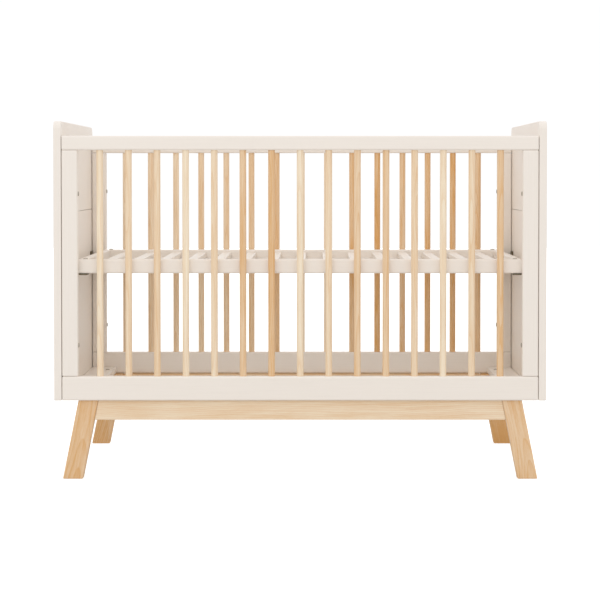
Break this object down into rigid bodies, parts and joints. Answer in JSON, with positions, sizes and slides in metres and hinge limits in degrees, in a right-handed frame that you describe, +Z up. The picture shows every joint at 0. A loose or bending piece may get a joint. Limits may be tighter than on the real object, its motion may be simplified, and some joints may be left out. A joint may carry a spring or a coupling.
{
  "type": "baby crib",
  "caption": "Baby crib with solid end panels, barred sides of round wooden spindles, a height-adjustable slatted base and splayed wooden legs.",
  "frame": {"origin": "on the floor, under the middle of the crib", "axes": "+X along the crib to its right end, +Y from the front side to the back side, +Z up"},
  "size_m": [1.242, 0.656, 0.905],
  "materials": {
    "painted_wood": "satin warm off-white paint on wood",
    "natural_wood": "clear satin lacquer on pale wood",
    "plated_steel": "zinc plated, satin"
  },
  "bodies": {
    "crib_frame": {"end_panel_left": "painted_wood", "end_panel_right": "painted_wood", "front_top_rail": "painted_wood", "front_bottom_rail": "painted_wood", "front_stile_left": "painted_wood", "front_stile_right": "painted_wood", "back_top_rail": "painted_wood", "back_bottom_rail": "painted_wood", "back_stile_left": "painted_wood", "back_stile_right": "painted_wood", "bottom_plank_left": "painted_wood", "bottom_plank_right": "painted_wood", "front_spindle_01": "natural_wood", "front_spindle_02": "natural_wood", "front_spindle_03": "natural_wood", "front_spindle_04": "natural_wood", "front_spindle_05": "natural_wood", "front_spindle_06": "natural_wood", "front_spindle_07": "natural_wood", "front_spindle_08": "natural_wood", "front_spindle_09": "natural_wood", "front_spindle_10": "natural_wood", "front_spindle_11": "natural_wood", "front_spindle_12": "natural_wood", "front_spindle_13": "natural_wood", "front_spindle_14": "natural_wood", "front_spindle_15": "natural_wood", "back_spindle_01": "natural_wood", "back_spindle_02": "natural_wood", "back_spindle_03": "natural_wood", "back_spindle_04": "natural_wood", "back_spindle_05": "natural_wood", "back_spindle_06": "natural_wood", "back_spindle_07": "natural_wood", "back_spindle_08": "natural_wood", "back_spindle_09": "natural_wood", "back_spindle_10": "natural_wood", "back_spindle_11": "natural_wood", "back_spindle_12": "natural_wood", "back_spindle_13": "natural_wood", "back_spindle_14": "natural_wood", "back_spindle_15": "natural_wood", "leg_front_left": "natural_wood", "leg_front_right": "natural_wood", "leg_back_left": "natural_wood", "leg_back_right": "natural_wood", "front_apron": "natural_wood", "back_apron": "natural_wood", "end_apron_left": "natural_wood", "end_apron_right": "natural_wood"},
    "mattress_base": {"base_front_rail": "painted_wood", "base_back_rail": "painted_wood", "base_end_rail_left": "painted_wood", "base_end_rail_right": "painted_wood", "base_slat_rack": "painted_wood", "base_bracket_front_left": "plated_steel", "base_bracket_front_right": "plated_steel", "base_bracket_back_left": "plated_steel", "base_bracket_back_right": "plated_steel"}
  },
  "joints": [
    {"name": "base_height", "type": "slide", "parent": "crib_frame", "child": "mattress_base", "axis": [0, 0, 1], "range_m": [-0.29, 0]}
  ]
}
